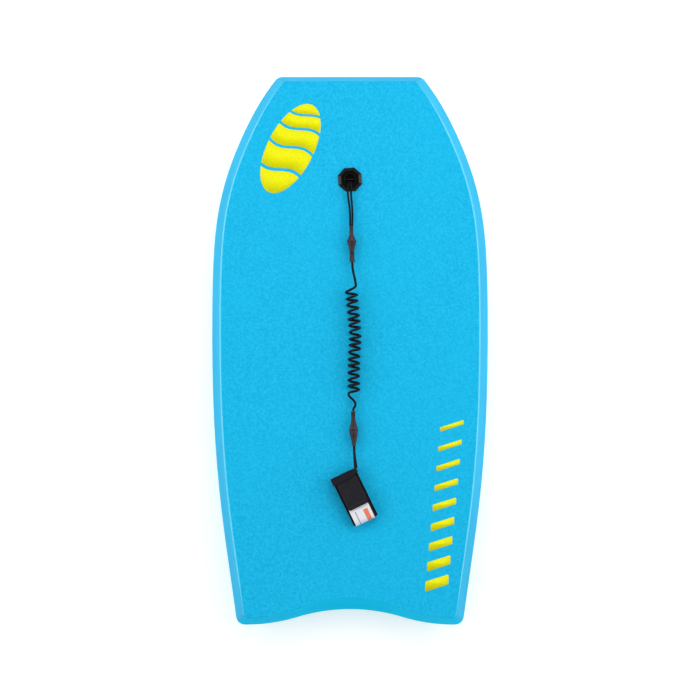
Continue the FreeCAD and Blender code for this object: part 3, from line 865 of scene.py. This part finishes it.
def loopMesh(inside, sides, columns):
    # an open flattened loop; inside is how far it lies within the strap's outer face
    s = cuffSettings
    low, high = strapLow + inside * mm, strapHigh - inside * mm
    start, end = (s["loopStart"] + inside) * mm, (s["loopEnd"] - inside) * mm
    radius = (high - low) / 2
    bm = bmesh.new()
    halfStep = math.pi / 40
    upright = Matrix.Rotation(math.pi / 2, 4, "X") @ Matrix.Rotation(halfStep, 4, "Z")
    bmesh.ops.create_circle(bm, segments=40, radius=radius, matrix=upright)
    for v in bm.verts:
        v.co.x += math.copysign((end - start) / 2 - radius, v.co.x)
    long = [e for e in bm.edges if e.calc_length() > 10 * mm]
    bmesh.ops.subdivide_edges(bm, edges=long, cuts=24)
    bmesh.ops.translate(bm, vec=((start + end) / 2, sides[0] * mm, (low + high) / 2), verts=bm.verts)
    rim = bm.edges[:]
    for _ in range(columns):
        made = bmesh.ops.extrude_edge_only(bm, edges=rim)["geom"]
        rim = [g for g in made if isinstance(g, bmesh.types.BMEdge)]
        moved = [g for g in made if isinstance(g, bmesh.types.BMVert)]
        bmesh.ops.translate(bm, vec=(0, (sides[1] - sides[0]) / columns * mm, 0), verts=moved)
    bmesh.ops.recalc_face_normals(bm, faces=bm.faces)
    highest = max(bm.faces, key=lambda face: face.calc_center_median().z)
    if highest.normal.z < 0:
        bmesh.ops.reverse_faces(bm, faces=bm.faces)
    return bm


def addPad():
    s = cuffSettings
    half = s["padWidth"] / 2
    bm = loopMesh(s["strapThickness"], (-half, half), 22)
    middle = (strapLow + strapHigh) / 2
    for v in bm.verts:
        # the padding swells where it comes out from under the strap
        away = abs(v.co.y / mm)
        rise = smoothStep(away, s["strapWidth"] / 2, s["strapWidth"] / 2 + s["puffEdge"])
        fall = smoothStep(away, half - s["puffEdge"], half)
        v.co.z += math.copysign(s["padPuff"] * (rise - fall) * mm, v.co.z - middle)
    layDown(bm)
    pad = finishCloth("cuff_padding", bm, s["padThickness"], 1.1)
    settle(pad, neoprene(), ["cuff_pad"])
    return pad


def addStrap():
    s = cuffSettings
    half = s["strapWidth"] / 2
    bm = loopMesh(0, (-half, half), 18)
    layDown(bm)
    strap = finishCloth("cuff_webbing", bm, s["strapThickness"], 0.35)
    finish = webbing("strapWebbing", rgb(10, 10, 16), rgb(36, 36, 46))
    return settle(strap, finish, ["cuff_strap"])


def flatPatch(start, end, width, corner, height, free=False):
    # a flat rounded piece in the cuff's frame; free rounds only the far corners
    bm = bmesh.new()
    bmesh.ops.create_grid(bm, x_segments=1, y_segments=1, size=0.5)
    bmesh.ops.scale(bm, vec=((end - start) * mm, width * mm, 1), verts=bm.verts)
    corners = [v for v in bm.verts if v.co.x > 0 or not free]
    bmesh.ops.bevel(bm, geom=corners, offset=corner * mm, affect="VERTICES", segments=5, profile=0.5,
                    material=-1, clamp_overlap=True)
    bmesh.ops.translate(bm, vec=((start + end) / 2 * mm, 0, height), verts=bm.verts)
    for k in range(1, int(end - start)):
        cutAcross(bm, (start + k) * mm, 0)
    for k in range(-8, 9):
        cutAcross(bm, width / 17 * k * mm, 1)
    return bm


def addFlap():
    s = cuffSettings
    bm = flatPatch(s["flapStart"], s["flapEnd"], s["strapWidth"], s["flapCorner"], flapLow, True)
    for v in bm.verts:
        sewn = 1 - smoothStep(v.co.x / mm, s["flapStart"] + s["sewnLength"], s["flapHinge"])
        v.co.z -= (flapLow - strapHigh) * s["sewnDip"] * sewn
    layDown(bm)
    flap = finishCloth("cuff_closing_flap", bm, s["flapThickness"], 0.4, 1.0)
    finish = webbing("flapWebbing", rgb(12, 12, 17), rgb(40, 39, 47))
    settle(flap, finish, ["cuff_flap"], None)
    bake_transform(flap)
    return flap


def addPatches():
    s = cuffSettings
    finish = hookAndLoop()
    patches = []
    for name, node, height, body in (
        ("loop_patch_pile", "loop_patch", strapHigh, "board"),
        ("hook_patch_hooks", "hook_patch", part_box("hook_patch")[0].z, "flap"),
    ):
        start, end = s["loopPatch"] if body == "board" else s["hookPatch"]
        thickness = (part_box(node)[1].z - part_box(node)[0].z) / mm
        bm = flatPatch(start, end, s["patchWidth"], 2.0, height)
        layDown(bm)
        piece = finishCloth(name, bm, thickness, 0.25, 1.0)
        patches.append(settle(piece, finish, [node], body))
    return patches


def addLabel():
    s = cuffSettings
    low, high = s["labelSides"]
    floor = strapLow + s["strapThickness"] * mm
    labelDepth, inlay = s["labelThickness"], s["inlayThickness"]
    plain = labelCloth("labelCloth", rgb(214, 213, 224), rgb(240, 240, 248))
    orange = labelCloth("stripeCloth", rgb(222, 112, 78), rgb(240, 134, 98))
    grey = labelCloth("lineCloth", rgb(104, 104, 116), rgb(134, 134, 146))
    sheets = (
        ("cuff_label_cloth", 0.0, (s["labelStart"], low, high), labelDepth, plain, ["cuff_label"]),
        ("cuff_label_stripe", -labelDepth, s["stripe"], inlay, orange, []),
        ("cuff_label_line", -labelDepth, s["line"], inlay, grey, []),
    )
    made = []
    for name, inside, (start, left, right), thickness, finish, nodes in sheets:
        bm = loopMesh(inside, (left, right), 10)
        cutAcross(bm, start * mm, 0)
        cutAcross(bm, floor, 2)
        dropped = []
        for face in bm.faces:
            middle = face.calc_center_median()
            if middle.x < start * mm or middle.z < floor:
                dropped.append(face)
        bmesh.ops.delete(bm, geom=dropped, context="FACES")
        layDown(bm)
        piece = finishCloth(name, bm, thickness, 0.05, 1.0, 0)
        made.append(settle(piece, finish, nodes))
    return made


def addKeeper():
    s = cuffSettings
    lowest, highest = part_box("keeper_loop")
    half = s["padWidth"] / 2 + s["keeperRoom"]
    bm = bmesh.new()
    bmesh.ops.create_cube(bm, size=1)
    size = (s["keeperWidth"] * mm, 2 * half * mm, highest.z - lowest.z)
    bmesh.ops.scale(bm, vec=size, verts=bm.verts)
    long = [e for e in bm.edges if abs(e.verts[0].co.x - e.verts[1].co.x) > 1 * mm]
    bmesh.ops.bevel(bm, geom=long, offset=s["keeperCorner"] * mm, affect="EDGES", segments=6, profile=0.5,
                    material=-1, clamp_overlap=True)
    bmesh.ops.delete(bm, geom=[f for f in bm.faces if abs(f.normal.x) > 0.9], context="FACES")
    bmesh.ops.translate(bm, vec=(size[0] / 2, 0, (highest.z + lowest.z) / 2), verts=bm.verts)
    for k in range(-11, 12):
        cutAcross(bm, k * s["keeperGrid"] * mm, 1)
    for k in range(1, 6):
        cutAcross(bm, k * s["keeperGrid"] * mm, 0)
    for v in bm.verts:
        # the band narrows where the tab is folded into it
        near = smoothStep(v.co.y / mm, s["narrowFrom"], half)
        v.co.x *= 1 - s["keeperNarrow"] * near
        v.co.x += s["narrowShift"] * mm * near
    bmesh.ops.transform(bm, matrix=cuffPlace, verts=bm.verts)
    band = finishCloth("keeper_band", bm, s["keeperThickness"], 0.3)
    finish = webbing("keeperWebbing", rgb(8, 8, 14), rgb(32, 32, 42), 1.1)
    return settle(band, finish, ["keeper_loop"])


# rows of thread: from and to in the cuff's frame, at a height above it
stitchSettings = {
    "spacing": 3.0, "long": 2.1, "thick": 0.28,
    "flap": [((23, -17.2), (54, -17.2)), ((23, 17.2), (54, 17.2)), ((56.4, -14), (56.4, 14))],
}


def addStitches(name, rows, height, body, finish):
    s = stitchSettings
    bm = bmesh.new()
    for begin, finishAt in rows:
        a, b = Vector((*begin, 0)), Vector((*finishAt, 0))
        count = int((b - a).length / s["spacing"])
        heading = math.atan2(b.y - a.y, b.x - a.x)
        for k in range(count):
            middle = (a + (b - a) * ((k + 0.5) / count)) * mm
            place = Matrix.Translation(middle + Vector((0, 0, height))) @ Matrix.Rotation(heading, 4, "Z")
            shape = Matrix.Diagonal((s["long"] / 2 * mm, s["thick"] * mm, s["thick"] * mm, 1))
            bmesh.ops.create_uvsphere(bm, u_segments=6, v_segments=4, radius=1, matrix=place @ shape)
    layDown(bm)
    return settle(addMesh(name, bm), finish, (), body)


def thread():
    f = Finish("thread")
    twist = f.noise(0.6)
    return f.set(Base_Color=f.blend(twist, rgb(30, 30, 36), rgb(74, 74, 84)), Roughness=0.5 + 0.2 * twist)


# floor and light

stageSettings = {
    "floor": 14.0,
    "glow": 0.42,
    # brightness of the room round the horizon and overhead, and how far up it starts and stops fading
    "horizon": 1.0,
    "zenith": 0.22,
    "fade": (0.12, 0.92),
    # place, size and power of each soft light, all aimed at the board
    "lights": {
        "left_box": ((-2.1, 0.25, 1.35), (1.8, 1.6), 22),
        "right_box": ((2.1, 0.25, 1.35), (1.8, 1.6), 27),
        "top_box": ((0.0, 2.5, 2.2), (2.4, 1.4), 36),
    },
}


def addStage():
    s = stageSettings
    bm = bmesh.new()
    bmesh.ops.create_grid(bm, x_segments=1, y_segments=1, size=s["floor"])
    floor = addMesh("floor", bm)
    f = Finish("floorPaint")
    tone = f.noise(400.0, 2.0)
    paper = f.blend(tone, rgb(226, 227, 228), rgb(231, 232, 233))
    floor.data.materials.append(f.set(Base_Color=paper, Roughness=0.75 + 0.1 * tone,
                                      Emission_Color=(1, 1, 1, 1), Emission_Strength=s["glow"]))
    room = Finish("studio", bpy.data.worlds, "Background")
    upward = room.axes(room.add("ShaderNodeTexCoord", output="Generated"))[2]
    low, high = s["fade"]
    strength = room.add("ShaderNodeMapRange", None, {
        "Value": upward, "From Min": low, "From Max": high, "To Min": s["horizon"], "To Max": s["zenith"],
    })
    scene.world = room.set(Color=(1, 1, 1, 1), Strength=strength)
    for name, (place, size, power) in s["lights"].items():
        data = bpy.data.lights.new(name, "AREA")
        data.shape = "RECTANGLE"
        data.size, data.size_y = size
        data.energy = power
        light = addObject(name, data)
        light.location = place
        light.rotation_euler = (-Vector(place)).to_track_quat("-Z", "Y").to_euler()
        light.visible_camera = False
    scene.view_settings.view_transform = "Standard"


# making

addCamera()
leftStrand, rightStrand = addStrings()
cord = addCord()
tab = addTab()
print("camera and cords")
swivels = addSwivels()
print("swivels")
addBoard()
addRidges()
print("board")
yellow = printInk("yellowInk", rgb(228, 226, 0), rgb(240, 238, 0))
blue = printInk("blueInk", rgb(20, 132, 186), rgb(26, 150, 204))
addOval(yellow)
addBars(yellow, blue)
print("prints")
cuff = [addPad(), addStrap(), addFlap(), *addPatches(), *addLabel(), addKeeper()]
cuff.append(addStitches("flap_stitches", stitchSettings["flap"], flapHigh, "flap", thread()))
print("cuff")
declareCord(leftStrand)
declareCord(rightStrand)
declareCord(cord)
declareCord(tab, lineAlong(tab[1]))
addStage()
print("stage")
